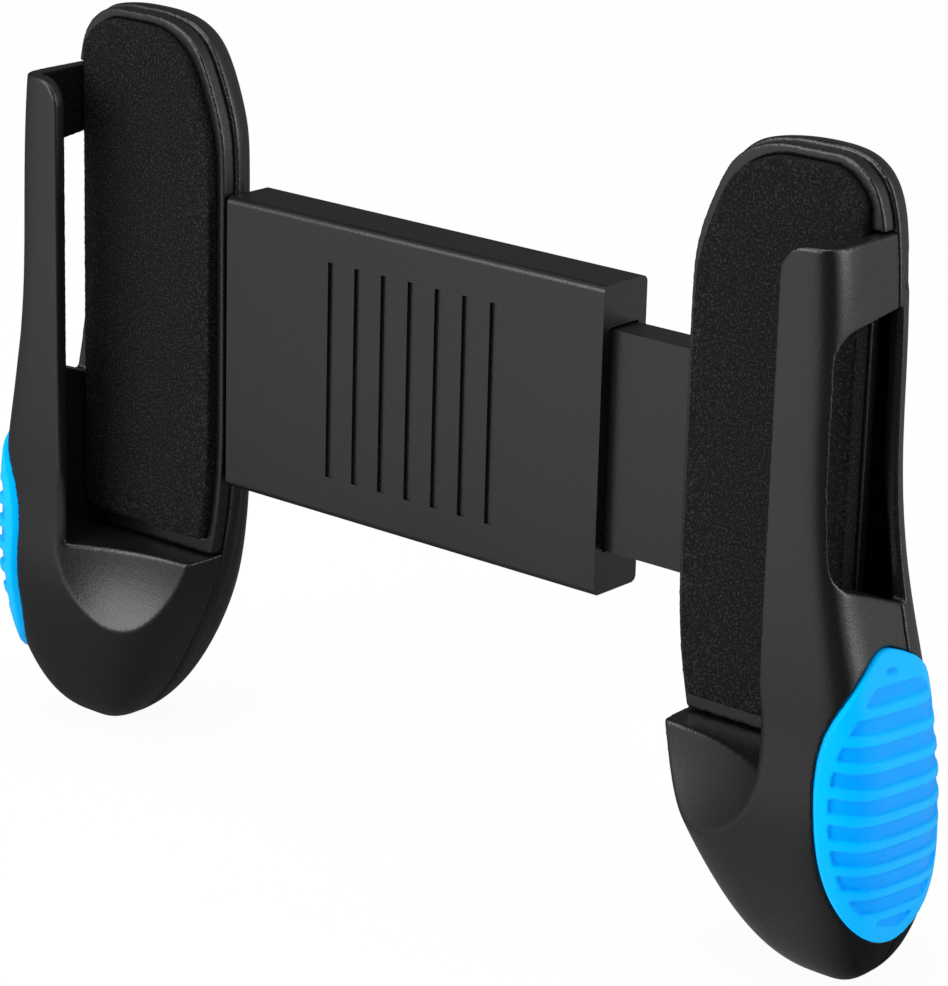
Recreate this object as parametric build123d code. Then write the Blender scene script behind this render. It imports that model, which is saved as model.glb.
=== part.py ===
from build123d import *
import os
from math import cos, sin, pi, sqrt

# Phone gaming grip: two mirrored halves that clamp a phone held sideways, joined behind it by a
# spring-loaded telescopic bridge. While it is built, the centre of the held phone's front face is the
# origin: X to the right, Y to the back, Z up. The finished model stands on its two handles.

# Phone that the slot is open to at rest
PHONE_LENGTH = 138.3
PHONE_HEIGHT = 67.1
PHONE_DEPTH = 7.1

# Slot that holds one end of the phone
END_GAP = 1.1
FRONT_GAP = 0.4
REAR_GAP = 0.9
FLOOR_GAP = 0.3
LIP_GRIP = 4.5
LIP_DEPTH = 2.1
LIP_CORNER = 4.0
END_WALL = 3.0
SLOT_CORNER = 1.2
WALL_RISE = 3.65
FLOOR_DEPTH = 2.2

# Half body: the two shells together
SEAM_Y = 12.0
BODY_WIDTH = 31.4
EAR_RISE = 9.7
GRIP_DROP = 31.75
SHELL_WALL = 2.2
HANDLE_WALL = 4.2
WALL_CHANGE = (-14.0, -20.0)
SLOT_OUTER_POWER = 9.0
HANDLE_OUTER_POWER = 4.6
POWER_CHANGE = (-8.0, -45.0)
FRONT_INNER_POWER = 3.8
REAR_POWER = 2.2
BOW_STEPS = 20
RING_COUNT = 28
LAP = 1.0

# Levels of the half body. Each row: height, outer side past the end wall's outer face, inner side
# drawn in, front set back from the lip's face, rear past the seam.
# In the ear the height is a share of the ear's rise above the end wall
EAR_LEVELS = (
    (1.000, -9.6, 15.0, 0.0, 2.0),
    (0.985, -8.0, 12.8, 0.0, 3.0),
    (0.938, -6.3, 10.1, 0.0, 4.2),
    (0.845, -4.7, 7.9, 0.0, 5.5),
    (0.701, -3.1, 6.0, 0.0, 6.7),
    (0.495, -1.9, 4.5, 0.0, 7.6),
    (0.237, -1.1, 3.3, 0.0, 8.2),
)
# Along the slot it is a share of the end wall's height above the slot's floor
SLOT_LEVELS = (
    (0.983, -0.5, 1.8, 0.0, 8.5),
    (0.927, -0.1, 0.6, 0.0, 8.7),
    (0.86, 0.2, 0.1, 0.0, 8.8),
    (0.72, 0.5, 0.0, 0.0, 8.8),
    (0.55, 0.9, 0.0, 0.0, 8.8),
    (0.335, 3.0, 0.0, 0.0, 9.6),
    (0.167, 5.8, 0.2, 0.15, 11.0),
    (0.00, 7.6, 1.6, 0.25, 12.8),
)
# In the handle it is a share of the drop from the slot's floor to the foot
HANDLE_LEVELS = (
    (0.35, 7.5, 5.0, 0.2, 14.6),
    (0.635, 6.6, 10.3, 3.2, 13.8),
    (0.824, 4.8, 15.0, 6.6, 10.9),
    (0.94, 2.2, 19.6, 9.6, 7.4),
    (0.987, -0.3, 23.0, 11.6, 4.8),
    (1.00, -2.2, 25.4, 12.9, 3.2),
)

# Backrest plate and its foam
REST_INSET = 0.5
REST_SPIGOT = 0.9
SPIGOT_SLIP = 1.2
REST_RIM = 1.3
REST_CORNER = 2.5
RIM_INNER = 1.2
RIM_TOP = 2.0
RIM_FOOT = 2.6
FOAM_DEPTH = 2.9
FOAM_SIDE_GAP = 0.55
SLIP = 0.2

# Window in the end wall
WINDOW_TOP = 27.6
WINDOW_BOTTOM = -11.6
WINDOW_TOP_SLOPE = 1.7
WINDOW_BOTTOM_SLOPE = 5.2
WINDOW_FRONT_TOP = -0.7
WINDOW_FRONT_BOTTOM = -1.25
WINDOW_ROUND = 3.8
WINDOW_STEP = 1.0

# Notch in the back shell's side, where a blade can part the shells
PRY_LOW = 29.5
PRY_HIGH = 33.8
PRY_PAST_SEAM = (1.6, 5.8)
PRY_IN = 1.6

# Thumb scoop in the handle's front: a ball of this radius sunk along a tilted line
SCOOP_RADIUS = 36.0
SCOOP_DEPTH = 2.1
SCOOP_IN = 18.75
SCOOP_FACE_Y = 0.7
SCOOP_DROP = 1.15
SCOOP_LEAN = (0.294, 0.94, -0.172)

# Grip pad on the handle's outer side
PAD_DEPTH = 2.0
PAD_PROUD = 0.5
PAD_SLIP = 0.12
PAD_CENTRE_Y = 8.65
PAD_DROP = 2.8
PAD_HALF_WIDTH = 15.0
PAD_HALF_HEIGHT = 20.75
PAD_POWER = 2.15
PAD_PLANE_OUT = 5.0
PAD_FLARE = 1.05
PAD_LEAN = 6.1
PAD_REACH = 10.0
GROOVE_COUNT = 11
GROOVE_PITCH = 3.6
GROOVE_WIDTH = 2.1
GROOVE_MARGIN = 2.4
GROOVE_TILT = 5.0
GROOVE_LIFT = 0.45

# Screws
SCREW_R = 1.2
SCREW_LENGTH = 4.5
SCREW_HEAD_R = 2.4
SCREW_HEAD = 1.5
CROSS_WIDTH = 0.6
CROSS_DEPTH = 0.7
PILOT_GAP = 0.04
HOLE_GAP = 0.2
PILOT_END = 0.4
SINK_GAP = 0.35
POST_R = 2.3
BOSS_R = 4.0
BOSS_FLOOR = 1.4
REST_POST = 2.1
SMALL_R = 0.8
SMALL_LENGTH = 6.8
SMALL_HEAD_R = 1.6
SMALL_HEAD = 1.0
SMALL_SINK = 1.4
REST_SCREWS = ((67.2, 31.2), (49.3, 32.5), (62.0, -20.0))
HANDLE_SCREWS = ((54.5, -42.0), (69.5, -54.0))

# Bridge: sleeve on the left half, slider on the right half
BRIDGE_FRONT_GAP = 2.5
SLEEVE_DEPTH = 9.4
SLEEVE_WALL = 1.6
SLEEVE_SIDE = 4.5
SLEEVE_INSIDE = 17.5
SLEEVE_MOUTH_GAP = 0.85
SLEEVE_SPLIT = 3.6
SLEEVE_EDGE = 1.0
SLEEVE_ROOT_GAP = 0.25
MOUTH_STEP = 1.5
MOUTH_LENGTH = 7.7
SLIDE_GAP = 0.3
SLIDER_OVERLAP = 41.0
SLIDER_EAR = 6.0
SLIDER_COVER = 1.3
CHANNEL_OFFSET = 9.0
CHANNEL_WIDTH = 6.0
CHANNEL_FLOOR = 1.1
CHANNEL_END = 1.6
FLANGE_REACH = 20.0
FLANGE_HALF_HEIGHT = 15.0
FLANGE_DEPTH = 3.8
FLANGE_SET = 1.2
FLANGE_SCREW_IN = 4.8
RIB_COUNT = 7
RIB_PITCH = 5.0
RIB_WIDTH = 1.4
RIB_DEPTH = 0.5
SLEEVE_SCREW_IN = 5.0
PIN_R = 1.0
PIN_GAP = 0.03
PIN_SEAT = 0.8
PIN_INSET = 4.2

# Travel of the right half from the rest pose
TRAVEL_IN = 13.0

# Springs
SPRING_R = 1.1
WIRE_R = 0.22
SPRING_TURNS = 36
LOOP_R = 1.5
LEG = 3.0

# Places that follow from the sizes
TOP_Z = PHONE_HEIGHT / 2 + WALL_RISE
FLOOR_Z = -PHONE_HEIGHT / 2 - FLOOR_GAP
FOOT_Z = FLOOR_Z - GRIP_DROP
EAR_TOP_Z = TOP_Z + EAR_RISE
END_X = PHONE_LENGTH / 2 + END_GAP
WALL_X = END_X + END_WALL
INNER_X = WALL_X - BODY_WIDTH
LIP_X = PHONE_LENGTH / 2 - LIP_GRIP
LIP_BACK_Y = -FRONT_GAP
LIP_FRONT_Y = LIP_BACK_Y - LIP_DEPTH
FRONT_DEPTH = SEAM_Y - LIP_FRONT_Y
FOAM_Y = PHONE_DEPTH + REAR_GAP
REST_Y = FOAM_Y + FOAM_DEPTH
POST_Y = SEAM_Y + REST_SPIGOT + REST_POST
BRIDGE_Y = PHONE_DEPTH + BRIDGE_FRONT_GAP
BRIDGE_BACK_Y = BRIDGE_Y + SLEEVE_DEPTH
INSIDE_Y = BRIDGE_Y + SLEEVE_WALL
INSIDE_BACK_Y = BRIDGE_BACK_Y - SLEEVE_WALL
SPLIT_Y = BRIDGE_Y + SLEEVE_SPLIT
ROOT_X = INNER_X - SLEEVE_ROOT_GAP
MOUTH_X = INNER_X - TRAVEL_IN - SLEEVE_MOUTH_GAP
SLIDER_X = MOUTH_X - SLIDER_OVERLAP
SLIDER_Y = INSIDE_Y + SLIDE_GAP
SLIDER_BACK_Y = INSIDE_BACK_Y - SLIDE_GAP
COVER_Y = SLIDER_Y + SLIDER_COVER
FLANGE_Y = SEAM_Y + FLANGE_SET
FLANGE_BACK_Y = FLANGE_Y + FLANGE_DEPTH
SPRING_Y = (COVER_Y + SLIDER_BACK_Y - CHANNEL_FLOOR) / 2
SLEEVE_HALF = SLEEVE_INSIDE + SLEEVE_SIDE
FAR = 200.0


def block(low_x, high_x, low_y, high_y, low_z, high_z):
    size = (high_x - low_x, high_y - low_y, high_z - low_z)
    middle = ((low_x + high_x) / 2, (low_y + high_y) / 2, (low_z + high_z) / 2)
    return Pos(*middle) * Box(*size)


def rod(x, z, radius, low_y, high_y):
    """Cylinder along Y between two depths."""
    return Pos(x, (low_y + high_y) / 2, z) * Rot(90, 0, 0) * Cylinder(radius, high_y - low_y)


def levels():
    """Height, outer X, inner X, front depth and rear depth of every level, from the ear to the foot."""
    heights = [TOP_Z + row[0] * EAR_RISE for row in EAR_LEVELS]
    heights += [FLOOR_Z + row[0] * (TOP_Z - FLOOR_Z) for row in SLOT_LEVELS]
    heights += [FLOOR_Z - row[0] * GRIP_DROP for row in HANDLE_LEVELS]
    rows = EAR_LEVELS + SLOT_LEVELS + HANDLE_LEVELS
    return [(z, WALL_X + out, INNER_X + drawn, FRONT_DEPTH - front, rear)
            for z, (share, out, drawn, front, rear) in zip(heights, rows)]


def drawn_in(row, inset, extra):
    """A level with its sides moved in; extra is added to the inset down in the handle."""
    z, outer, inner, front, rear = row
    high, low = WALL_CHANGE
    inset += extra * min(1.0, max(0.0, (high - z) / (high - low)))
    middle = (EAR_TOP_Z + FOOT_Z) / 2
    z -= inset * (z - middle) / (EAR_TOP_Z - middle)
    inset *= min(1.0, (outer - inner) / BODY_WIDTH)
    return z, outer - inset, inner + inset, front - inset, rear - inset


def spaced_levels(inset, extra=0.0):
    """Levels at even steps along smooth lines through the given ones."""
    given = levels()
    places = chord_shares(given)
    moved = [drawn_in(row, inset, extra) for row in given]
    outer = Edge.make_spline([Vector(row[1], row[4], row[0]) for row in moved], parameters=places)
    inner = Edge.make_spline([Vector(row[2], row[3], row[0]) for row in moved], parameters=places)
    result = []
    for k in range(RING_COUNT + 1):
        a = outer.position_at(k / RING_COUNT, position_mode=PositionMode.PARAMETER)
        b = inner.position_at(k / RING_COUNT, position_mode=PositionMode.PARAMETER)
        result.append((a.Z, a.X, b.X, b.Y, a.Y))
    return result


def corner_power(z):
    """How square the front's outer corner is: tight along the slot, rounder down in the handle."""
    high, low = POWER_CHANGE
    share = min(1.0, max(0.0, (high - z) / (high - low)))
    return SLOT_OUTER_POWER + share * (HANDLE_OUTER_POWER - SLOT_OUTER_POWER)


def unit_bow(side, z):
    """Half of a rounded outline of unit size, from its outer end round to its inner end."""
    points = []
    for k in range(BOW_STEPS + 1):
        c = cos(pi * k / BOW_STEPS)
        s = max(0.0, sin(pi * k / BOW_STEPS))
        front_power = corner_power(z) if c > 0 else FRONT_INNER_POWER
        power = REAR_POWER if side > 0 else front_power
        reach = (abs(c) ** power + s ** power) ** (-1 / power)
        points.append((reach * c, side * reach * s))
    return points


def chord_shares(points):
    """Share of the way along a chain of points at each of them."""
    places = [0.0]
    for a, b in zip(points, points[1:]):
        places.append(places[-1] + sqrt(sum((p - q) ** 2 for p, q in zip(a, b))))
    return [place / places[-1] for place in places]


def bow(z, outer, inner, base_y, depth, side):
    """The unit bow stretched to a level; side -1 is the front."""
    centre = (outer + inner) / 2
    half = (outer - inner) / 2
    points = [Vector(centre + half * x, base_y + depth * y, z) for x, y in unit_bow(side, z)]
    ends = [Vector(0, side, 0), Vector(0, -side, 0)]
    return Edge.make_spline(points, tangents=ends, parameters=chord_shares(unit_bow(side, FLOOR_Z)))


def half_form(side, inset=0.0, extra=0.0):
    """Front (-1) or rear (1) form of the half body; the front one reaches past the seam by the lap."""
    lap = LAP if side < 0 else 0.0
    base_y = SEAM_Y + lap
    rings = []
    for z, outer, inner, front, rear in spaced_levels(inset, extra):
        arc = bow(z, outer, inner, base_y, lap + (rear if side > 0 else front), side)
        rings.append(Wire([arc, Edge.make_line(arc @ 1, arc @ 0)]))
    return Solid.make_loft(rings)


def whole_form(inset):
    """The half body's whole form, front and rear together."""
    rings = []
    for z, outer, inner, front, rear in spaced_levels(inset):
        front_arc = bow(z, outer, inner, SEAM_Y, front, -1)
        rear_arc = bow(z, outer, inner, SEAM_Y, rear, 1)
        rings.append(Wire([front_arc, rear_arc]))
    return Solid.make_loft(rings)


def outline_prism(inset, low_y, high_y, low_z, outer_limit, extra=0.0):
    """Front view of the half body above a height, drawn in and made a plate between two depths."""
    rows = [row for row in spaced_levels(inset, extra) if row[0] > low_z - 4]
    outer = Edge.make_spline([Vector(row[1], low_y, row[0]) for row in rows])
    inner = Edge.make_spline([Vector(row[2], low_y, row[0]) for row in rows])
    sides = [outer, Edge.make_line(outer @ 1, inner @ 1), inner, Edge.make_line(inner @ 0, outer @ 0)]
    plate = Solid.extrude(Face(Wire(sides)), Vector(0, high_y - low_y, 0))
    return plate & block(0, outer_limit, low_y - 1, high_y + 1, low_z, FAR)


def screw_at(x, z, seat_y, radius, length, head_r, head):
    """Screw driven forward from a seat, with a cross in its head."""
    bar = 2 * head_r * 0.7
    screw = rod(x, z, radius, seat_y - length, seat_y) + rod(x, z, head_r, seat_y, seat_y + head)
    face_y = seat_y + head
    cross = Pos(x, face_y, z) * Box(bar, 2 * CROSS_DEPTH, CROSS_WIDTH)
    cross += Pos(x, face_y, z) * Box(CROSS_WIDTH, 2 * CROSS_DEPTH, bar)
    return screw - cross


def shell_screw(x, z, seat_y):
    return screw_at(x, z, seat_y, SCREW_R, SCREW_LENGTH, SCREW_HEAD_R, SCREW_HEAD)


def pilot(x, z, seat_y):
    """Hole that the screw bites into."""
    return rod(x, z, SCREW_R + PILOT_GAP, seat_y - SCREW_LENGTH - PILOT_END, seat_y)


def passage(x, z, seat_y, low_y):
    """Clear hole for the shank and the sink for the head, open to the rear."""
    hole = rod(x, z, SCREW_R + HOLE_GAP, low_y, seat_y + LAP)
    return hole + rod(x, z, SCREW_HEAD_R + SINK_GAP, seat_y, FAR)


def pad_cutter(margin):
    """Flared oval bar through the handle's outer side; margin makes it smaller."""
    rings = []
    for x in (-PAD_REACH, PAD_REACH):
        width = PAD_HALF_WIDTH + PAD_FLARE * x - margin
        height = PAD_HALF_HEIGHT - margin
        points = []
        for k in range(2 * BOW_STEPS):
            c, s = cos(pi * k / BOW_STEPS), sin(pi * k / BOW_STEPS)
            reach = (abs(c) ** PAD_POWER + abs(s) ** PAD_POWER) ** (-1 / PAD_POWER)
            points.append(Vector(x, width * reach * c, height * reach * s))
        rings.append(Wire([Edge.make_spline(points, periodic=True)]))
    bar = Rot(PAD_LEAN, 0, 0) * Solid.make_loft(rings, ruled=True)
    return Pos(WALL_X + PAD_PLANE_OUT, PAD_CENTRE_Y, FLOOR_Z - PAD_DROP) * bar


def groove_slabs():
    slabs = []
    for k in range(GROOVE_COUNT):
        z = (k - (GROOVE_COUNT - 1) / 2) * GROOVE_PITCH
        slab = block(END_X / 2, FAR, -FAR / 2, FAR / 2, z - GROOVE_WIDTH / 2, z + GROOVE_WIDTH / 2)
        slabs.append(Pos(0, PAD_CENTRE_Y, FLOOR_Z - PAD_DROP + GROOVE_LIFT) * Rot(-GROOVE_TILT, 0, 0) * slab)
    return slabs


def one(shape):
    """The largest solid of a result."""
    return max(shape.solids(), key=lambda solid: solid.volume)


def window_prism():
    """Cutter for the opening in the end wall."""
    low_x = END_X - SLOT_CORNER - 0.1
    rear_y = SEAM_Y + WINDOW_STEP
    corners = [
        Vector(low_x, rear_y, WINDOW_TOP),
        Vector(low_x, WINDOW_FRONT_TOP, WINDOW_TOP - WINDOW_TOP_SLOPE),
        Vector(low_x, WINDOW_FRONT_BOTTOM, WINDOW_BOTTOM + WINDOW_BOTTOM_SLOPE),
        Vector(low_x, rear_y, WINDOW_BOTTOM),
    ]
    cutter = Solid.extrude(Face(Wire.make_polygon(corners)), Vector(FAR, 0, 0))
    front_edges = cutter.edges().filter_by(Axis.X).sort_by(Axis.Y)[:2]
    return cutter.fillet(WINDOW_ROUND, front_edges)


def build_shells():
    """Front and back shell of the right half, with the grip pad's seat cut in both."""
    extra = HANDLE_WALL - SHELL_WALL
    recess = pad_cutter(-PAD_SLIP) - whole_form(PAD_DEPTH)
    window = window_prism()
    normal = Vector(*SCOOP_LEAN).normalized()
    face = Vector(WALL_X - SCOOP_IN, SCOOP_FACE_Y, FLOOR_Z - SCOOP_DROP)
    ball = face - normal * (SCOOP_RADIUS - SCOOP_DEPTH)

    front = half_form(-1) & block(0, FAR, -FAR, SEAM_Y, -FAR, TOP_Z)
    cavity = half_form(-1, SHELL_WALL, extra)
    cavity &= block(0, FAR, -FAR, FAR, -FAR, FLOOR_Z - FLOOR_DEPTH)
    cavity -= Pos(*ball) * Sphere(SCOOP_RADIUS + SHELL_WALL)
    for x, z in HANDLE_SCREWS:
        cavity -= rod(x, z, POST_R, -FAR, FAR)
    slot = block(0, END_X, LIP_BACK_Y, FAR, FLOOR_Z, FAR)
    slot = slot.fillet(SLOT_CORNER, slot.edges().filter_by(Axis.Z).group_by(Axis.X)[-1].sort_by(Axis.Y)[:1])
    mouth = block(0, LIP_X, -FAR, SEAM_Y, FLOOR_Z, FAR)
    corner = block(LIP_X - 1, LIP_X + LIP_CORNER, -FAR, LIP_BACK_Y + 0.1, TOP_Z - LIP_CORNER, FAR)
    corner -= rod(LIP_X + LIP_CORNER, TOP_Z - LIP_CORNER, LIP_CORNER, -FAR, FAR)
    front = front - slot - mouth - corner - cavity - Pos(*ball) * Sphere(SCOOP_RADIUS) - window - recess
    for x, z in HANDLE_SCREWS:
        front -= pilot(x, z, SEAM_Y + BOSS_FLOOR)

    back = half_form(1)
    hollow = half_form(1, SHELL_WALL, extra)
    for x, z in REST_SCREWS:
        hollow -= rod(x, z, BOSS_R, POST_Y, FAR)
    for x, z in HANDLE_SCREWS:
        hollow -= rod(x, z, BOSS_R, -FAR, FAR)
    for x, z in flange_screws():
        hollow -= rod(x, z, BOSS_R, FLANGE_BACK_Y, FAR)
    back = back - hollow - window - recess
    for x, z in REST_SCREWS:
        back -= passage(x, z, POST_Y + BOSS_FLOOR, SEAM_Y)
    for x, z in HANDLE_SCREWS:
        back -= passage(x, z, SEAM_Y + BOSS_FLOOR, SEAM_Y - LAP)
    for x, z in flange_screws():
        back -= passage(x, z, FLANGE_BACK_Y + BOSS_FLOOR, SEAM_Y)
    notch = FLANGE_HALF_HEIGHT + SLIP
    back -= block(0, INNER_X + BODY_WIDTH / 3, FLANGE_Y - SLIP, FLANGE_BACK_Y + SLIP, -notch, notch)
    low_y, high_y = (SEAM_Y + past for past in PRY_PAST_SEAM)
    back -= block(WALL_X - PRY_IN, FAR, low_y, high_y, PRY_LOW, PRY_HIGH)
    return one(front), one(back)


def flange_screws():
    x = ROOT_X + FLANGE_REACH - FLANGE_SCREW_IN
    return ((x, CHANNEL_OFFSET), (x, -CHANNEL_OFFSET))


def build_backrest():
    """Plate with a rim round the foam, a step into the back shell and posts for its screws."""
    low_z = FLOOR_Z + SLIP
    plate = outline_prism(REST_INSET, REST_Y - REST_RIM, SEAM_Y, low_z, FAR)
    plate -= block(END_X - SLIP, FAR, -FAR, FAR, -FAR, TOP_Z + SLIP)
    lowest = plate.edges().filter_by(Axis.Y).group_by(Axis.Z)[0]
    plate = plate.fillet(REST_CORNER, lowest)
    foam = outline_prism(RIM_TOP, FOAM_Y, REST_Y, low_z + RIM_FOOT, END_X - FOAM_SIDE_GAP)
    foam &= block(INNER_X + REST_INSET + RIM_INNER, FAR, -FAR, FAR, -FAR, FAR)
    foam = foam.fillet(REST_CORNER, foam.edges().filter_by(Axis.Y).group_by(Axis.Z)[0])
    drawn = SHELL_WALL + SPIGOT_SLIP
    extra = HANDLE_WALL - SHELL_WALL
    spigot = outline_prism(drawn, SEAM_Y, SEAM_Y + REST_SPIGOT, low_z, END_X - SLIP, extra)
    rest = plate + spigot
    for x, z in REST_SCREWS:
        rest += rod(x, z, POST_R, SEAM_Y, POST_Y)
    for x, z in REST_SCREWS:
        rest -= pilot(x, z, POST_Y + BOSS_FLOOR)
    pocket = block(0, FAR, foam.bounding_box().min.Y, REST_Y, -FAR, FAR) & foam
    rest = rest - pocket
    rest -= block(END_X - FOAM_SIDE_GAP, FAR, -FAR, REST_Y, -FAR, TOP_Z + SLIP)
    return one(rest), one(foam)


def build_pad():
    pad = (pad_cutter(0.0) & whole_form(-PAD_PROUD)) - whole_form(PAD_DEPTH)
    shaving = pad_cutter(GROOVE_MARGIN) - whole_form(0.0)
    grooves = Part() + [slab & shaving for slab in groove_slabs()]
    return one(pad - grooves)


def flange(sign):
    """Tongue that fixes one end of the bridge inside a back shell; sign is the side it is on."""
    start = ROOT_X - SLEEVE_WALL / 2
    tongue = block(start, ROOT_X + FLANGE_REACH, FLANGE_Y, FLANGE_BACK_Y, -FLANGE_HALF_HEIGHT, FLANGE_HALF_HEIGHT)
    tips = tongue.edges().filter_by(Axis.Y).group_by(Axis.X)[-1]
    tongue = tongue.fillet(REST_CORNER, tips)
    for x, z in flange_screws():
        tongue -= pilot(x, z, FLANGE_BACK_Y + BOSS_FLOOR)
    return tongue if sign > 0 else tongue.mirror(Plane.YZ)


def sleeve_screw_places():
    z = SLEEVE_INSIDE + SLEEVE_SIDE / 2
    ends = (SLEEVE_SCREW_IN - ROOT_X, (MOUTH_X - ROOT_X) / 2, MOUTH_X - SLEEVE_SCREW_IN)
    return [(x, side * z) for x in ends for side in (-1, 1)]


def pin_places():
    """Height of each spring's pins."""
    return (CHANNEL_OFFSET, -CHANNEL_OFFSET)


def build_sleeve():
    """Front and back cover of the outer telescope."""
    whole = block(-ROOT_X, MOUTH_X, BRIDGE_Y, BRIDGE_BACK_Y, -SLEEVE_HALF, SLEEVE_HALF)
    whole = whole.fillet(SLEEVE_EDGE, whole.edges().filter_by(Axis.X))
    wide = SLEEVE_INSIDE
    narrow = SLEEVE_INSIDE - MOUTH_STEP
    inside = block(SLEEVE_WALL - ROOT_X, MOUTH_X - MOUTH_LENGTH, INSIDE_Y, INSIDE_BACK_Y, -wide, wide)
    inside += block(0, FAR, INSIDE_Y, INSIDE_BACK_Y, -narrow, narrow)
    front = (whole & block(-FAR, FAR, -FAR, SPLIT_Y, -FAR, FAR)) - inside
    back = (whole & block(-FAR, FAR, SPLIT_Y, FAR, -FAR, FAR)) - inside + flange(-1)
    for k in range(RIB_COUNT):
        x = (MOUTH_X - ROOT_X) / 2 + (k - (RIB_COUNT - 1) / 2) * RIB_PITCH
        back -= block(x, x + RIB_WIDTH, BRIDGE_BACK_Y - RIB_DEPTH, FAR, -narrow, narrow)
        front -= block(x, x + RIB_WIDTH, 0, BRIDGE_Y + RIB_DEPTH, -narrow, narrow)
    seat_y = BRIDGE_BACK_Y - SMALL_SINK
    for x, z in sleeve_screw_places():
        front -= rod(x, z, SMALL_R + PILOT_GAP, seat_y - SMALL_LENGTH - PILOT_END / 2, FAR)
        back -= rod(x, z, SMALL_R + HOLE_GAP, -FAR, FAR)
        back -= rod(x, z, SMALL_HEAD_R + HOLE_GAP, seat_y, FAR)
    for z in pin_places():
        hole = rod(PIN_INSET - ROOT_X, z, PIN_R + PIN_GAP, INSIDE_Y - PIN_SEAT, INSIDE_BACK_Y + PIN_SEAT)
        front -= hole
        back -= hole
    return one(front), one(back)


def build_slider():
    """Body with the springs' channels, and its cover."""
    wide = SLEEVE_INSIDE - SLIDE_GAP
    narrow = wide - MOUTH_STEP
    whole = block(SLIDER_X, ROOT_X, SLIDER_Y, SLIDER_BACK_Y, -narrow, narrow)
    whole += block(SLIDER_X, SLIDER_X + SLIDER_EAR, SLIDER_Y, SLIDER_BACK_Y, -wide, wide)
    cover = whole & block(-FAR, FAR, -FAR, COVER_Y, -FAR, FAR)
    body = (whole & block(-FAR, FAR, COVER_Y, FAR, -FAR, FAR)) + flange(1)
    floor_y = SLIDER_BACK_Y - CHANNEL_FLOOR
    for z in pin_places():
        low = z - CHANNEL_WIDTH / 2
        body -= block(-FAR, ROOT_X - CHANNEL_END, 0, floor_y, low, low + CHANNEL_WIDTH)
        hole = rod(ROOT_X - PIN_INSET, z, PIN_R + PIN_GAP, COVER_Y - PIN_SEAT, floor_y + PIN_SEAT)
        cover -= hole
        body -= hole
    return one(body), one(cover)


def build_spring(z):
    """Tension spring between the two pins at height z: coil, two legs and two loops."""
    reach = ROOT_X - PIN_INSET
    start = LOOP_R + LEG - reach
    length = -2 * start
    helix = Edge.make_helix(length / SPRING_TURNS, length, SPRING_R)
    tube = sweep(Plane(origin=helix @ 0, z_dir=helix % 0) * Circle(WIRE_R), path=helix, is_frenet=True)
    spring = Pos(start, 0, 0) * Rot(0, 90, 0) * tube
    inset = sqrt(LOOP_R ** 2 - SPRING_R ** 2)
    leg = reach - inset + start
    for side in (-1, 1):
        middle = Pos(side * (-start + leg / 2), 0, -SPRING_R)
        spring += middle * Rot(0, 90, 0) * Cylinder(WIRE_R, leg)
        spring += Pos(-side * start, 0, -SPRING_R) * Sphere(WIRE_R * 1.2)
        spring += Pos(side * reach, 0, 0) * Rot(90, 0, 0) * Torus(LOOP_R, WIRE_R)
    return one(Pos(0, SPRING_Y, z) * spring)


def build_all():
    nodes = {}
    front, back = build_shells()
    rest, foam = build_backrest()
    screws = [shell_screw(x, z, POST_Y + BOSS_FLOOR) for x, z in REST_SCREWS]
    screws += [shell_screw(x, z, SEAM_Y + BOSS_FLOOR) for x, z in HANDLE_SCREWS]
    half = {
        "front_shell": [front],
        "back_shell": [back],
        "backrest": [rest],
        "foam_pad": [foam],
        "grip_pad": [build_pad()],
        "shell_screws": screws,
    }
    for name, solids in half.items():
        nodes[f"right_{name}"] = solids
        nodes[f"left_{name}"] = [solid.mirror(Plane.YZ) for solid in solids]
    sleeve_front, sleeve_back = build_sleeve()
    slider_body, slider_cover = build_slider()
    upper, lower = pin_places()
    reach = ROOT_X - PIN_INSET
    mounts = [shell_screw(x, z, FLANGE_BACK_Y + BOSS_FLOOR) for x, z in flange_screws()]
    small = [screw_at(x, z, BRIDGE_BACK_Y - SMALL_SINK, SMALL_R, SMALL_LENGTH, SMALL_HEAD_R, SMALL_HEAD)
             for x, z in sleeve_screw_places()]
    nodes["sleeve_front"] = [sleeve_front]
    nodes["sleeve_back"] = [sleeve_back]
    nodes["sleeve_screws"] = small
    nodes["slider_body"] = [slider_body]
    nodes["slider_cover"] = [slider_cover]
    nodes["spring_upper"] = [build_spring(upper)]
    nodes["spring_lower"] = [build_spring(lower)]
    nodes["sleeve_pins"] = [rod(-reach, z, PIN_R, INSIDE_Y - PIN_SEAT, INSIDE_BACK_Y + PIN_SEAT)
                            for z in (upper, lower)]
    nodes["slider_pins"] = [rod(reach, z, PIN_R, COVER_Y - PIN_SEAT, SLIDER_BACK_Y - CHANNEL_FLOOR + PIN_SEAT)
                            for z in (upper, lower)]
    nodes["slider_mount_screws"] = mounts
    nodes["sleeve_mount_screws"] = [screw.mirror(Plane.YZ) for screw in mounts]
    return nodes


if __name__ == "__main__":
    os.makedirs("parts", exist_ok=True)
    nodes = build_all()
    whole = Compound([solid for shapes in nodes.values() for shape in shapes for solid in shape.solids()])
    box = whole.bounding_box()
    shift = Pos(-(box.min.X + box.max.X) / 2, -(box.min.Y + box.max.Y) / 2, -box.min.Z)
    print("shift", shift.position, "size", box.size)
    for name, shapes in nodes.items():
        solids = [shift * solid for shape in shapes for solid in shape.solids()]
        export_step(solids[0] if len(solids) == 1 else Compound(solids), f"parts/{name}.step")
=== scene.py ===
import math

import bpy
from mathutils import Euler, Matrix, Vector, noise
from mathutils.bvhtree import BVHTree


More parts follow.
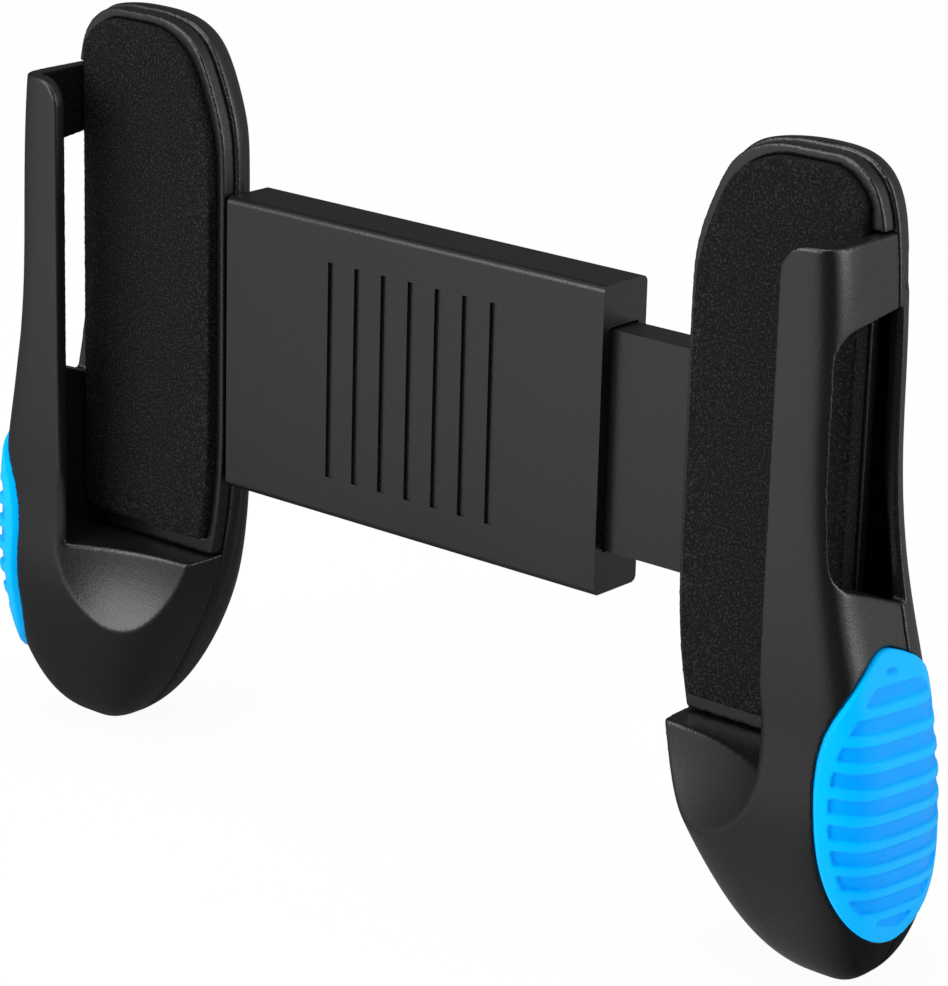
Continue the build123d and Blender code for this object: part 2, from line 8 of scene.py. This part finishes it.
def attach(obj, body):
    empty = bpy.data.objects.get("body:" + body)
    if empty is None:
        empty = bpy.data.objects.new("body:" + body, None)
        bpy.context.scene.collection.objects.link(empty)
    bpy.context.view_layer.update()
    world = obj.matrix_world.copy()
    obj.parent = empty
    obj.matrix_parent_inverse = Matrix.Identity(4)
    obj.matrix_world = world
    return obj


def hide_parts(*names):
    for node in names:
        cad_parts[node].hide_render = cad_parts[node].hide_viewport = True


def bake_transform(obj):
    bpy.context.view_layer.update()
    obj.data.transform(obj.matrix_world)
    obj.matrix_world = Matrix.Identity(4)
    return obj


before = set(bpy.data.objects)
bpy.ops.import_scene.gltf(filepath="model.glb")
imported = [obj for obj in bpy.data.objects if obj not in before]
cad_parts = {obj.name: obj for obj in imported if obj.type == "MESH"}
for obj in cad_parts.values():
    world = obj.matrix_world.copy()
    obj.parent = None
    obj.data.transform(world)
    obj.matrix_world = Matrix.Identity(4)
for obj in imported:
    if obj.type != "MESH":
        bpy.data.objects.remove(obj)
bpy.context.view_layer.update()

bl_info = {
    "name": "Phone Gaming Grip",
    "version": (1, 0, 0),
    "blender": (4, 5, 0),
    "location": "3D View > Sidebar > Grip",
    "description": "Dresses the packed model of a clamp-on phone gaming grip and sets it in a studio",
    "category": "Object",
}

LEFT_BODY = "left_half"
RIGHT_BODY = "right_half"
SIDES = (("right", RIGHT_BODY), ("left", LEFT_BODY))
MM = 0.001

# Camera. Its place is measured from the middle of the held phone's face
PHONE_CENTRE = Vector((0.0, -11.9505, 65.6)) * MM
CAMERA_PLACE = Vector((331.3, -381.5, 154.7)) * MM
CAMERA_AZIMUTH = math.radians(39.73)
CAMERA_ELEVATION = math.radians(18.15)
CAMERA_ROLL = math.radians(1.54)
CAMERA_LENS = 139.8
CAMERA_SENSOR = 36.0

# How light the studio's walls are where the grip's gloss mirrors them, by share of a turn; the floor
# glows with it as a painted reflection. The turn starts at the left (-X) and goes on past the front
# (-Y).
STUDIO_ROUND = ((0.0, 0.1), (0.05, 0.3), (0.09, 0.7), (0.15, 1.0), (0.22, 1.0), (0.28, 0.05),
                (0.46, 0.02), (0.52, 1.0), (0.57, 0.85), (0.64, 0.55), (0.74, 0.2), (0.9, 0.05),
                (1.0, 0.1))
# The point that they stand round, as seen in the floor
STUDIO_MIDDLE = (0.07, 0.03, 0.0)

# The floor: half its width, its paint, how much of it is seen as plain white, and the oval under
# the grip where a reflection finds it darker with a painted shadow, from one reach to another
FLOOR_HALF = 3.0
FLOOR_PAINT = ((0.9, 0.9, 0.9), (0.93, 0.93, 0.93))
FLOOR_WHITE_SHARE = 0.95
FLOOR_SHADOW_OVAL = (0.45, 1.0, 0.0)
FLOOR_SHADOW_REACH = (0.01, 0.16)
FLOOR_SHADOW_DARKEST = 0.25

LAMP_TARGET = (0.0, 0.0, 0.06)
WHITE = (1.0, 1.0, 1.0, 1.0)

# Skins: how the remesh grid is turned, how strongly each easing pulls, and the cells and easings
# that have no setting
SKIN_TURN = Euler((0.62, 0.41, 0.53)).to_matrix().to_4x4()
EASING_FACTOR = 0.5
BACKREST_CELL, BACKREST_EASING = 0.0002, 16
FOAM_CELL, FOAM_EASING = 0.00025, 9
GRIP_EASING = 5

# Metals
BLACK_OXIDE = (0.11, 0.11, 0.115)
GROUND_STEEL = (0.56, 0.56, 0.57)
SPRING_STEEL = (0.62, 0.62, 0.64)
FASTENER_EDGE = 0.0001
EDGE_ANGLE = math.radians(35)

# The part of its range that a noise node's value mostly keeps to
NOISE_LOW, NOISE_HIGH = 0.3, 0.7


# Settings that a user would change. Lengths are in metres

class ShellSettings(bpy.types.PropertyGroup):
    colour: bpy.props.FloatVectorProperty(
        name="Plastic colour", description="Colour of the moulded shells", subtype="COLOR",
        size=3, min=0.0, max=1.0, default=(0.0058, 0.0058, 0.0062))
    grain: bpy.props.FloatProperty(
        name="Grain", description="Width of the fine moulded texture's bumps", subtype="DISTANCE",
        unit="LENGTH", min=0.0001, default=0.00028)
    cell: bpy.props.FloatProperty(
        name="Skin cell", description="Cell size of the shells' skin mesh", subtype="DISTANCE",
        unit="LENGTH", min=0.0002, default=0.00022)
    rounding: bpy.props.IntProperty(
        name="Rounding", description="How many times the edges are eased", min=0, default=22)


class FoamSettings(bpy.types.PropertyGroup):
    colour: bpy.props.FloatVectorProperty(
        name="Foam colour", description="Colour of the foam pads", subtype="COLOR",
        size=3, min=0.0, max=1.0, default=(0.0045, 0.0045, 0.0047))
    grain: bpy.props.FloatProperty(
        name="Foam grain", description="Width of the foam's cells", subtype="DISTANCE",
        unit="LENGTH", min=0.0002, default=0.00034)
    crown: bpy.props.FloatProperty(
        name="Crown", description="How far the foam's middle swells", subtype="DISTANCE",
        unit="LENGTH", min=0.0, default=0.00012)


class PadSettings(bpy.types.PropertyGroup):
    colour: bpy.props.FloatVectorProperty(
        name="Grip colour", description="Colour of the soft side grips", subtype="COLOR",
        size=3, min=0.0, max=1.0, default=(0.0, 0.45, 1.0))
    # The groove colour is painted shade down in the grips' grooves
    groove_shade_colour: bpy.props.FloatVectorProperty(
        name="Groove colour", description="Colour down in the grips' grooves", subtype="COLOR",
        size=3, min=0.0, max=1.0, default=(0.0, 0.35, 0.99))
    cell: bpy.props.FloatProperty(
        name="Grip cell", description="Cell size of the grips' skin mesh", subtype="DISTANCE",
        unit="LENGTH", min=0.0001, default=0.00022)


class BridgeSettings(bpy.types.PropertyGroup):
    colour: bpy.props.FloatVectorProperty(
        name="Bridge colour", description="Colour of the telescopic bridge", subtype="COLOR",
        size=3, min=0.0, max=1.0, default=(0.0052, 0.0052, 0.0056))
    edge: bpy.props.FloatProperty(
        name="Edge", description="Width of the rounding on the bridge's edges", subtype="DISTANCE",
        unit="LENGTH", min=0.0, default=0.0005)


class StageSettings(bpy.types.PropertyGroup):
    key_power: bpy.props.FloatProperty(
        name="Key power", description="Power of the front lamp and the top lamp", subtype="POWER",
        unit="POWER", min=0.0, default=5.0)
    fill_power: bpy.props.FloatProperty(
        name="Fill power", description="Power of the side lamp", subtype="POWER", unit="POWER",
        min=0.0, default=2.2)
    sky: bpy.props.FloatProperty(
        name="Room light", description="Strength of the even light from all round", min=0.0,
        default=0.45)


# Node helpers

def new_material(name):
    """Material with an empty Principled shader, its node tree and the shader."""
    material = bpy.data.materials.new(name)
    material.use_nodes = True
    tree = material.node_tree
    return material, tree, tree.nodes["Principled BSDF"]


def node(tree, kind, inputs=None, **settings):
    """Adds a node; inputs gives socket values or the sockets to link from."""
    made = tree.nodes.new(kind)
    for key, value in settings.items():
        setattr(made, key, value)
    for key, value in (inputs or {}).items():
        if isinstance(value, bpy.types.NodeSocket):
            tree.links.new(value, made.inputs[key])
        else:
            made.inputs[key].default_value = value
    return made


def spread(tree, value, low, high, out_low, out_high):
    """Maps a value's range to another."""
    made = node(tree, "ShaderNodeMapRange", {"Value": value, "From Min": low, "From Max": high,
                                             "To Min": out_low, "To Max": out_high})
    return made.outputs["Result"]


def spread_noise(tree, value, out_low=0.0, out_high=1.0):
    """Maps a noise's usual range to another."""
    return spread(tree, value, NOISE_LOW, NOISE_HIGH, out_low, out_high)


def tint(tree, factor, first, second):
    """Colour between two by a factor."""
    made = node(tree, "ShaderNodeMix", data_type="RGBA")
    tree.links.new(factor, made.inputs["Factor"])
    colours = {"A": first, "B": second}
    for socket in made.inputs:
        if socket.type == "RGBA" and socket.name in colours:
            socket.default_value = (*colours[socket.name], 1.0)
    return next(out for out in made.outputs if out.type == "RGBA")


def coordinates(tree, kind="Object"):
    """Texture coordinates of one kind."""
    return node(tree, "ShaderNodeTexCoord").outputs[kind]


def cloud(tree, width, detail=2.0, roughness=0.5):
    """Noise whose lumps are about a given width across."""
    made = node(tree, "ShaderNodeTexNoise", {"Vector": coordinates(tree), "Scale": 1.0 / width,
                                             "Detail": detail, "Roughness": roughness})
    return made.outputs["Fac"]


def cells(tree, width):
    """Round cells about a given width across."""
    made = node(tree, "ShaderNodeTexVoronoi", {"Vector": coordinates(tree), "Scale": 1.0 / width})
    return made.outputs["Distance"]


def bump(value, depth, strength):
    """What a bump node is given: its height, how deep it goes and its share."""
    return {"Height": value, "Distance": depth, "Strength": strength}


def relief(tree, shader, *bumps):
    """Stacks bumps on a shader."""
    normal = None
    for inputs in bumps:
        if normal is not None:
            inputs["Normal"] = normal
        normal = node(tree, "ShaderNodeBump", inputs).outputs["Normal"]
    tree.links.new(normal, shader.inputs["Normal"])


def shaded(colour, factor):
    """A colour made lighter or darker."""
    return tuple(min(1.0, channel * factor) for channel in colour)


def colour_between(tree, factor, colour, dark, light):
    """Colour that goes from a darker to a lighter shade by a factor."""
    return tint(tree, factor, shaded(colour, dark), shaded(colour, light))


# Materials

def moulded_plastic(name, colour, grain):
    """Matte black plastic with a fine spark-eroded texture and faint handling marks."""
    material, tree, shader = new_material(name)
    patches = cloud(tree, width=0.03, detail=3.0)
    fine = cloud(tree, grain, detail=1.0)
    base = colour_between(tree, spread_noise(tree, patches), colour, dark=0.86, light=1.16)
    tree.links.new(base, shader.inputs["Base Color"])
    handled = spread(tree, patches, low=0.35, high=0.65, out_low=0.27, out_high=0.33)
    flicker = spread_noise(tree, fine, out_low=-0.04, out_high=0.04)
    roughness = node(tree, "ShaderNodeMath", {0: handled, 1: flicker}, operation="ADD")
    tree.links.new(roughness.outputs[0], shader.inputs["Roughness"])
    shader.inputs["Specular IOR Level"].default_value = 0.5
    relief(tree, shader, bump(cloud(tree, grain * 4), depth=0.00004, strength=0.25),
           bump(fine, depth=0.00003, strength=0.7))
    return material


def cell_foam(name, colour, grain):
    """Closed-cell foam: a grainy matt face with pale specks where the cells catch light."""
    material, tree, shader = new_material(name)
    lumps = cells(tree, grain)
    glints_and_grain = cloud(tree, grain, roughness=0.7)
    # Pale specks are painted glints: the base colour is made lighter where the cells would catch
    # light
    specks = spread(tree, glints_and_grain, low=0.5, high=0.7, out_low=0.0, out_high=1.0)
    base = colour_between(tree, specks, colour, dark=0.7, light=6.5)
    tree.links.new(base, shader.inputs["Base Color"])
    roughness = spread_noise(tree, glints_and_grain, out_low=0.75, out_high=0.92)
    tree.links.new(roughness, shader.inputs["Roughness"])
    shader.inputs["Specular IOR Level"].default_value = 0.15
    relief(tree, shader, bump(lumps, depth=0.0001, strength=0.5),
           bump(glints_and_grain, depth=0.00012, strength=0.8))
    return material


def soft_rubber(name, colour, groove_shade_colour):
    """Satin soft rubber, with painted shade that makes it darker down in its grooves."""
    material, tree, shader = new_material(name)
    depth = node(tree, "ShaderNodeAttribute", attribute_name="groove_shade").outputs["Fac"]
    # Painted shade: the colour darkens where the grooves are marked
    base = tint(tree, depth, colour, groove_shade_colour)
    drift = spread_noise(tree, cloud(tree, width=0.012), out_low=0.96, out_high=1.04)
    mottle = node(tree, "ShaderNodeHueSaturation", {"Color": base, "Value": drift})
    tree.links.new(mottle.outputs["Color"], shader.inputs["Base Color"])
    fine = cloud(tree, width=0.0004)
    roughness = spread_noise(tree, fine, out_low=0.38, out_high=0.46)
    tree.links.new(roughness, shader.inputs["Roughness"])
    shader.inputs["Specular IOR Level"].default_value = 0.3
    shader.inputs["Specular Tint"].default_value = (0.02, 0.45, 1.0, 1.0)
    shader.inputs["Subsurface Weight"].default_value = 0.06
    shader.inputs["Subsurface Radius"].default_value = (0.0004, 0.0012, 0.0028)
    shader.inputs["Subsurface Scale"].default_value = 1.0
    relief(tree, shader, bump(cloud(tree, width=0.004, detail=1.0), depth=0.00012, strength=0.25),
           bump(fine, depth=0.00002, strength=0.5))
    return material


def steel(name, colour, roughness, scratch):
    """Metal with fine drawn or turned marks."""
    material, tree, shader = new_material(name)
    marks = cloud(tree, scratch, detail=4.0, roughness=0.65)
    base = colour_between(tree, spread_noise(tree, marks), colour, dark=0.8, light=1.15)
    tree.links.new(base, shader.inputs["Base Color"])
    shader.inputs["Metallic"].default_value = 1.0
    dulled = spread_noise(tree, marks, out_low=roughness - 0.06, out_high=roughness + 0.08)
    tree.links.new(dulled, shader.inputs["Roughness"])
    relief(tree, shader, bump(marks, depth=0.00002, strength=0.4))
    return material


# Mesh helpers

def linked(name, mesh):
    """New object in the scene for a mesh."""
    piece = bpy.data.objects.new(name, mesh)
    bpy.context.scene.collection.objects.link(piece)
    return piece


def baked(piece):
    """The piece's mesh with its modifiers applied."""
    bpy.context.view_layer.update()
    graph = bpy.context.evaluated_depsgraph_get()
    mesh = bpy.data.meshes.new_from_object(piece.evaluated_get(graph))
    piece.modifiers.clear()
    piece.data = mesh
    return mesh


def reskinned(source, name, cell, easing):
    """New piece in the shape of a CAD node, with an even skin and eased edges.

    The skin's grid is turned askew to the piece, so that its long edges come out straight."""
    piece = linked(name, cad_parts[source].data.copy())
    piece.data.materials.clear()
    piece.data.transform(SKIN_TURN)
    skin = piece.modifiers.new("Skin", "REMESH")
    skin.mode = "VOXEL"
    skin.voxel_size = cell
    skin.use_smooth_shade = True
    if easing:
        ease = piece.modifiers.new("Ease", "SMOOTH")
        ease.factor = EASING_FACTOR
        ease.iterations = easing
    mesh = baked(piece)
    mesh.transform(SKIN_TURN.inverted())
    mesh.shade_smooth()
    return piece


def mirrored(piece, name):
    """The piece's mirror image across the middle of the grip."""
    mesh = piece.data.copy()
    mesh.transform(Matrix.Scale(-1, 4, Vector((1, 0, 0))))
    mesh.flip_normals()
    return linked(name, mesh)


def dressed(piece, body, slot, material, *nodes):
    """Gives a finished piece its material and body, and hides the CAD nodes it stands for. Its slot
    is not used.
    """
    piece.data.materials.clear()
    piece.data.materials.append(material)
    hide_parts(*nodes)
    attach(piece, body)


def both_halves(node_name, piece_name, cell, easing, slot, material, shape=None):
    """Makes the right-hand piece, shapes it, mirrors it and dresses both."""
    right = reskinned(f"right_{node_name}", f"right_{piece_name}", cell, easing)
    if shape is not None:
        shape(right)
    left = mirrored(right, f"left_{piece_name}")
    for piece, (side, body) in zip((right, left), SIDES):
        dressed(piece, body, slot, material, f"{side}_{node_name}")
    return right, left


def edged(node_name, width, material, segments=3):
    """Gives a CAD node that stays its rounded edges and material."""
    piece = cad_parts[node_name]
    piece.data.materials.clear()
    piece.data.materials.append(material)
    if width:
        rounding = piece.modifiers.new("Edges", "BEVEL")
        rounding.width = width
        rounding.segments = segments
        rounding.limit_method = "ANGLE"
        rounding.angle_limit = EDGE_ANGLE
        rounding.harden_normals = True


def swell(piece, height):
    """Foam face: a low crown, not quite even."""
    lump_width, lump_height, faces_front = 0.004, 0.00003, -0.5
    mesh = piece.data
    low = Vector(piece.bound_box[0])
    high = Vector(piece.bound_box[6])
    middle = (low + high) / 2
    reach = (high - low) / 2
    normals = [Vector(item.vector) for item in mesh.vertex_normals]
    for vertex, normal in zip(mesh.vertices, normals):
        across = min(1.0, abs(vertex.co.x - middle.x) / reach.x)
        along = min(1.0, abs(vertex.co.z - middle.z) / reach.z)
        if normal.y < faces_front:
            vertex.co.y -= height * (1 - across ** 4) * (1 - along ** 8)
        vertex.co += normal * noise.noise(vertex.co / lump_width) * lump_height
    mesh.update()


def mark_groove_shade(piece):
    """Marks the points that lie between two of a grip's lands, and weakly those beside one, for the
    painted shade in the grooves.
    """
    off_surface, groove_reach, least_rise, beside_one = 0.00012, 0.0025, 0.3, 0.35
    mesh = piece.data
    tree = BVHTree.FromPolygons([vertex.co for vertex in mesh.vertices],
                                [face.vertices for face in mesh.polygons])
    values = []
    for vertex, item in zip(mesh.vertices, mesh.vertex_normals):
        normal = Vector(item.vector)
        rise = Vector((0, 0, 1)) - normal * normal.z
        start = vertex.co + normal * off_surface
        found = 0
        if rise.length > least_rise and normal.x > 0.0:
            rise.normalize()
            for way in (rise, -rise):
                if tree.ray_cast(start, way, groove_reach)[0] is not None:
                    found += 1
        values.append(1.0 if found == 2 else beside_one * found)
    mesh.attributes.new("groove_shade", "FLOAT", "POINT").data.foreach_set("value", values)


# Operators

class GRIP_OT_shells(bpy.types.Operator):
    """Dress the front and back shells of both halves"""
    bl_idname = "grip.shells"
    bl_label = "Shells"

    def execute(self, context):
        look = context.scene.grip_shells
        plastic = moulded_plastic("moulded_shell", look.colour, look.grain)
        for part in ("front_shell", "back_shell"):
            both_halves(part, f"{part}_skin", look.cell, look.rounding, "shell", plastic)
        return {"FINISHED"}


class GRIP_OT_backrests(bpy.types.Operator):
    """Dress the rimmed plates that carry the foam"""
    bl_idname = "grip.backrests"
    bl_label = "Backrests"

    def execute(self, context):
        look = context.scene.grip_shells
        plastic = moulded_plastic("backrest_plastic", shaded(look.colour, 0.9), look.grain)
        both_halves("backrest", "backrest_skin", BACKREST_CELL, BACKREST_EASING, "shell", plastic)
        return {"FINISHED"}


class GRIP_OT_foam(bpy.types.Operator):
    """Make the foam pads that the phone's back rests on"""
    bl_idname = "grip.foam"
    bl_label = "Foam pads"

    def execute(self, context):
        look = context.scene.grip_foam
        foam = cell_foam("cell_foam", look.colour, look.grain)
        pieces = both_halves("foam_pad", "foam_cushion", FOAM_CELL, FOAM_EASING, "foam", foam,
                             lambda piece: swell(piece, look.crown))
        return {"FINISHED"}


class GRIP_OT_side_pads(bpy.types.Operator):
    """Make the soft grooved grips on the handles' outer sides"""
    bl_idname = "grip.side_pads"
    bl_label = "Side grips"

    def execute(self, context):
        look = context.scene.grip_pads
        rubber = soft_rubber("soft_grip_rubber", look.colour, look.groove_shade_colour)
        both_halves("grip_pad", "side_grip", look.cell, GRIP_EASING, "soft_grip", rubber,
                    mark_groove_shade)
        return {"FINISHED"}


class GRIP_OT_bridge(bpy.types.Operator):
    """Dress the telescopic bridge behind the phone"""
    bl_idname = "grip.bridge"
    bl_label = "Bridge"

    def execute(self, context):
        look = context.scene.grip_bridge
        plastic = moulded_plastic("bridge_plastic", look.colour, context.scene.grip_shells.grain)
        for name in ("sleeve_front", "sleeve_back", "slider_body", "slider_cover"):
            edged(name, look.edge, plastic)
        return {"FINISHED"}


class GRIP_OT_fasteners(bpy.types.Operator):
    """Dress the screws and the spring pins"""
    bl_idname = "grip.fasteners"
    bl_label = "Fasteners"

    def execute(self, context):
        black = steel("black_oxide_steel", BLACK_OXIDE, roughness=0.42, scratch=0.0004)
        bright = steel("ground_pin_steel", GROUND_STEEL, roughness=0.28, scratch=0.0003)
        names = ("left_shell_screws", "right_shell_screws", "sleeve_screws", "sleeve_mount_screws",
                 "slider_mount_screws")
        for name in names:
            edged(name, FASTENER_EDGE, black, segments=2)
        for name in ("sleeve_pins", "slider_pins"):
            edged(name, FASTENER_EDGE, bright, segments=2)
        return {"FINISHED"}


class GRIP_OT_springs(bpy.types.Operator):
    """Make the two tension springs"""
    bl_idname = "grip.springs"
    bl_label = "Springs"

    def execute(self, context):
        wire = steel("spring_wire", SPRING_STEEL, roughness=0.22, scratch=0.0005)
        for name in ("spring_upper", "spring_lower"):
            piece = linked(f"{name}_wire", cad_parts[name].data.copy())
            piece.data.materials.clear()
            piece.data.materials.append(wire)
            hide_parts(name)
            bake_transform(piece)
        return {"FINISHED"}


# Stage

def add_lamp(name, power, size, place):
    """Soft lamp that points at the grip."""
    lamp = bpy.data.lights.new(name, "AREA")
    lamp.energy = power
    lamp.shape = "RECTANGLE"
    lamp.size, lamp.size_y = size
    holder = bpy.data.objects.new(name, lamp)
    bpy.context.scene.collection.objects.link(holder)
    holder.location = place
    way = Vector(LAMP_TARGET) - Vector(place)
    holder.rotation_euler = way.to_track_quat("-Z", "Y").to_euler()


def plus(tree, first, second):
    """Sum of two values, at most 1."""
    made = node(tree, "ShaderNodeMath", {0: first, 1: second}, operation="ADD", use_clamp=True)
    return made.outputs[0]


def seen_directly(tree):
    """1 where the camera, a reflection or something clear sees the surface."""
    path = node(tree, "ShaderNodeLightPath")
    sharp = plus(tree, path.outputs["Is Camera Ray"], path.outputs["Is Transmission Ray"])
    return plus(tree, sharp, path.outputs["Is Glossy Ray"])


def studio_white(tree, kind, middle, painted_shadow=None):
    """Strength 1, but as light as the studio's walls where a reflection looks out to them.

    A painted shadow factor, if given, darkens what is mirrored."""
    path = node(tree, "ShaderNodeLightPath")
    way = node(tree, "ShaderNodeVectorMath", {0: coordinates(tree, kind), 1: middle},
               operation="SUBTRACT")
    around = node(tree, "ShaderNodeTexGradient", {"Vector": way.outputs[0]}, gradient_type="RADIAL")
    ramp = node(tree, "ShaderNodeValToRGB", {"Fac": around.outputs["Fac"]})
    stops = ramp.color_ramp.elements
    while len(stops) < len(STUDIO_ROUND):
        stops.new(0.5)
    for stop, (turn, light) in zip(stops, STUDIO_ROUND):
        stop.position = turn
        stop.color = (light, light, light, 1.0)
    mirrored_light = ramp.outputs["Color"]
    if painted_shadow is not None:
        dimmed = node(tree, "ShaderNodeMath", {0: mirrored_light, 1: painted_shadow},
                      operation="MULTIPLY")
        mirrored_light = dimmed.outputs[0]
    made = node(tree, "ShaderNodeMix", {"Factor": path.outputs["Is Glossy Ray"], "A": 1.0,
                                        "B": mirrored_light}, data_type="FLOAT")
    return made.outputs["Result"]


def add_floor():
    """Large pale sheet under the grip, white to the camera but able to take a soft shadow."""
    mesh = bpy.data.meshes.new("floor")
    signs = ((-1, -1), (1, -1), (1, 1), (-1, 1))
    corners = [(x * FLOOR_HALF, y * FLOOR_HALF, 0.0) for x, y in signs]
    mesh.from_pydata(corners, [], [(0, 1, 2, 3)])
    floor = linked("studio_floor", mesh)
    material, tree, shader = new_material("studio_floor_paint")
    mottle = spread_noise(tree, cloud(tree, width=0.4, detail=1.0))
    tree.links.new(tint(tree, mottle, *FLOOR_PAINT), shader.inputs["Base Color"])
    shader.inputs["Roughness"].default_value = 0.9
    shader.inputs["Specular IOR Level"].default_value = 0.0
    # Painted shadow: reflections see the floor darker in an oval under the grip
    oval = node(tree, "ShaderNodeVectorMath", {0: coordinates(tree), 1: FLOOR_SHADOW_OVAL},
                operation="MULTIPLY")
    reach = node(tree, "ShaderNodeVectorMath", {0: oval.outputs[0]}, operation="LENGTH")
    painted_shadow = spread(tree, reach.outputs["Value"], *FLOOR_SHADOW_REACH, FLOOR_SHADOW_DARKEST, 1.0)
    # Painted reflection: to reflections the floor glows as light or dark as the studio's walls in
    # that direction
    strength = studio_white(tree, "Object", STUDIO_MIDDLE, painted_shadow)
    white = node(tree, "ShaderNodeEmission", {"Color": WHITE, "Strength": strength})
    share = node(tree, "ShaderNodeMath", {0: seen_directly(tree), 1: FLOOR_WHITE_SHARE},
                 operation="MULTIPLY")
    mixed = node(tree, "ShaderNodeMixShader", {0: share.outputs[0], 1: shader.outputs[0],
                                               2: white.outputs[0]})
    tree.links.new(mixed.outputs[0], tree.nodes["Material Output"].inputs["Surface"])
    floor.data.materials.append(material)


def set_world(strength):
    """Even room light, with plain white behind the grip."""
    world = bpy.data.worlds.new("studio_room")
    world.use_nodes = True
    tree = world.node_tree
    room = tree.nodes["Background"]
    room.inputs["Color"].default_value = WHITE
    room.inputs["Strength"].default_value = strength
    walls = studio_white(tree, "Generated", (0.0, 0.0, 0.0))
    white = node(tree, "ShaderNodeBackground", {"Color": WHITE, "Strength": walls})
    mixed = node(tree, "ShaderNodeMixShader", {0: seen_directly(tree), 1: room.outputs[0],
                                               2: white.outputs[0]})
    tree.links.new(mixed.outputs[0], tree.nodes["World Output"].inputs["Surface"])
    bpy.context.scene.world = world


def set_camera():
    """Camera at the photograph's angle."""
    sin_a, cos_a = math.sin(CAMERA_AZIMUTH), math.cos(CAMERA_AZIMUTH)
    sin_e, cos_e = math.sin(CAMERA_ELEVATION), math.cos(CAMERA_ELEVATION)
    back = Vector((sin_a * cos_e, -cos_a * cos_e, sin_e))
    right = Vector((cos_a, sin_a, 0.0))
    up = back.cross(right)
    turned = math.cos(CAMERA_ROLL) * right + math.sin(CAMERA_ROLL) * up
    raised = -math.sin(CAMERA_ROLL) * right + math.cos(CAMERA_ROLL) * up
    data = bpy.data.cameras.new("photo_camera")
    data.sensor_width = CAMERA_SENSOR
    data.lens = CAMERA_LENS
    camera = bpy.data.objects.new("photo_camera", data)
    bpy.context.scene.collection.objects.link(camera)
    place_matrix = Matrix((turned, raised, back)).transposed().to_4x4()
    place_matrix.translation = PHONE_CENTRE + CAMERA_PLACE
    camera.matrix_world = place_matrix
    bpy.context.scene.camera = camera


class GRIP_OT_stage(bpy.types.Operator):
    """Set up the floor, the lamps, the room and the camera"""
    bl_idname = "grip.stage"
    bl_label = "Stage"

    def execute(self, context):
        look = context.scene.grip_stage
        add_floor()
        add_lamp("key_lamp", look.key_power, size=(0.7, 0.5), place=(-0.25, -0.75, 0.4))
        add_lamp("top_lamp", look.key_power, size=(0.7, 0.7), place=(0.0, -0.1, 0.95))
        add_lamp("side_lamp", look.fill_power, size=(0.3, 0.6), place=(0.7, 0.35, 0.3))
        set_world(look.sky)
        set_camera()
        context.scene.view_settings.view_transform = "Standard"
        return {"FINISHED"}


OPERATORS = (GRIP_OT_shells, GRIP_OT_backrests, GRIP_OT_foam, GRIP_OT_side_pads, GRIP_OT_bridge,
             GRIP_OT_fasteners, GRIP_OT_springs, GRIP_OT_stage)
SETTINGS = (("grip_shells", ShellSettings), ("grip_foam", FoamSettings), ("grip_pads", PadSettings),
            ("grip_bridge", BridgeSettings), ("grip_stage", StageSettings))


class GRIP_PT_panel(bpy.types.Panel):
    """Lists the grip's pieces"""
    bl_idname = "GRIP_PT_panel"
    bl_label = "Phone Gaming Grip"
    bl_space_type = "VIEW_3D"
    bl_region_type = "UI"
    bl_category = "Grip"

    def draw(self, context):
        for name, group in SETTINGS:
            box = self.layout.box()
            for key in group.__annotations__:
                box.prop(getattr(context.scene, name), key)
        for operator in OPERATORS:
            self.layout.operator(operator.bl_idname)


CLASSES = tuple(group for name, group in SETTINGS) + OPERATORS + (GRIP_PT_panel,)


def register():
    for item in CLASSES:
        bpy.utils.register_class(item)
    for name, group in SETTINGS:
        setattr(bpy.types.Scene, name, bpy.props.PointerProperty(type=group))


def unregister():
    for name, group in SETTINGS:
        delattr(bpy.types.Scene, name)
    for item in reversed(CLASSES):
        bpy.utils.unregister_class(item)


def main():
    register()
    bpy.ops.grip.stage()
    bpy.ops.grip.shells()
    bpy.ops.grip.backrests()
    bpy.ops.grip.foam()
    bpy.ops.grip.side_pads()
    bpy.ops.grip.bridge()
    bpy.ops.grip.fasteners()
    bpy.ops.grip.springs()
    bpy.context.view_layer.update()


if __name__ == "__main__":
    main()
